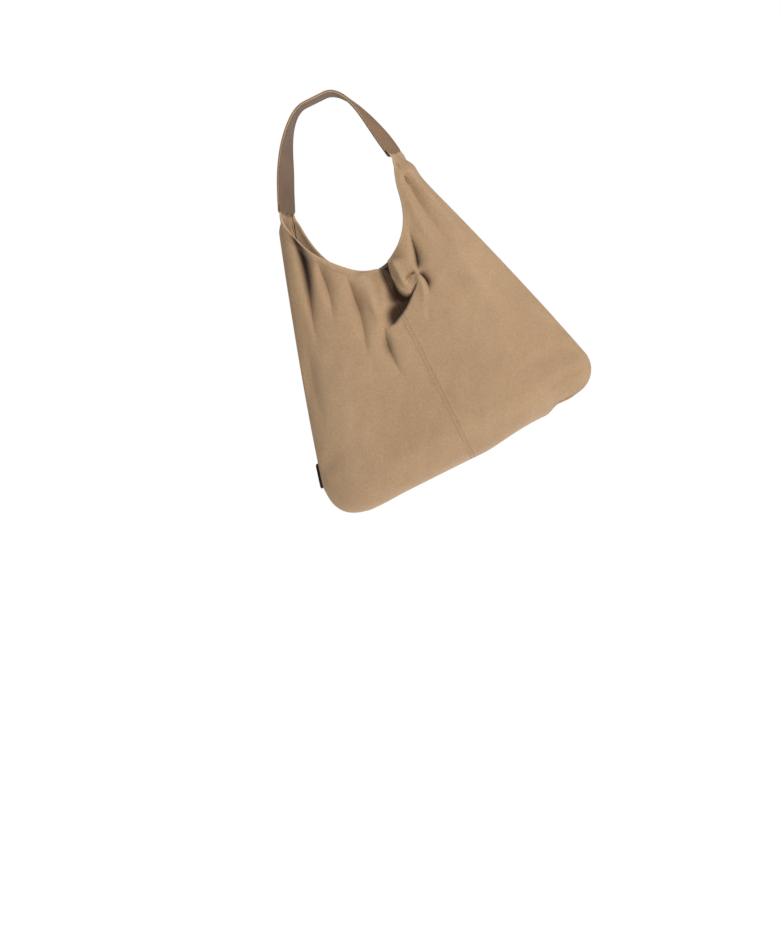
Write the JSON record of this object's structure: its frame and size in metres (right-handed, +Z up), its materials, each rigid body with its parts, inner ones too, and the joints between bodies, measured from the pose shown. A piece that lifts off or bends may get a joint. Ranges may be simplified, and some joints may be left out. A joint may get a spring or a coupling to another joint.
{
  "type": "hobo bag",
  "caption": "Soft triangular suede shoulder bag with a deep U-shaped mouth between two necks, a short leather strap joining them, and a lined inside with a snap and pockets.",
  "frame": {"origin": "middle of the flat underside of the strap's crown, where a shoulder carries the bag", "axes": "+Z up, +X to the bag's right-hand side seen from its front, and the front panels face -Y"},
  "size_m": [0.3982, 0.1098, 0.5241],
  "materials": {
    "suede": "matte suede",
    "strap_leather": "smooth satin leather",
    "strap_board": "bonded leather board",
    "facing_leather": "smooth matte leather",
    "lining_cloth": "plain woven cotton",
    "patch_leather": "smooth dark leather",
    "snap_metal": "satin plated",
    "zip_metal": "satin",
    "zip_tape": "woven tape"
  },
  "bodies": {
    "strap": {"strap_outer": "strap_leather", "strap_core": "strap_board", "strap_lining": "strap_leather"},
    "bag_body": {"front_panel_left": "suede", "front_panel_right": "suede", "back_panel_left": "suede", "back_panel_right": "suede", "front_facing": "facing_leather", "back_facing": "facing_leather", "front_lining": "lining_cloth", "back_lining": "lining_cloth", "snap_socket": "snap_metal", "snap_stud": "snap_metal", "snap_washer_socket": "snap_metal", "snap_washer_stud": "snap_metal", "slip_pocket": "lining_cloth", "zip_pocket_front": "lining_cloth", "zip_tape_lower": "zip_tape", "zip_tape_upper": "zip_tape", "zip_teeth_lower": "zip_metal", "zip_teeth_upper": "zip_metal", "zip_stop_left": "zip_metal", "zip_stop_right": "zip_metal", "leather_patch": "patch_leather"},
    "slider": {"zip_slider": "zip_metal"},
    "pull": {"zip_pull": "zip_metal"}
  },
  "joints": [
    {"name": "strap_swing", "type": "hinge", "parent": "strap", "child": "bag_body", "pos_m": [-0.023, 0, -0.1139], "axis": [1, 0, 0], "range_deg": [-45, 45]},
    {"name": "zip_slide", "type": "slide", "parent": "bag_body", "child": "slider", "axis": [1, 0, 0], "range_m": [0, 0.135]},
    {"name": "pull_turn", "type": "hinge", "parent": "slider", "child": "pull", "pos_m": [-0.0905, 0.01964, -0.30546], "axis": [0, 0.0698, -0.9976], "range_deg": [0, 150]}
  ]
}
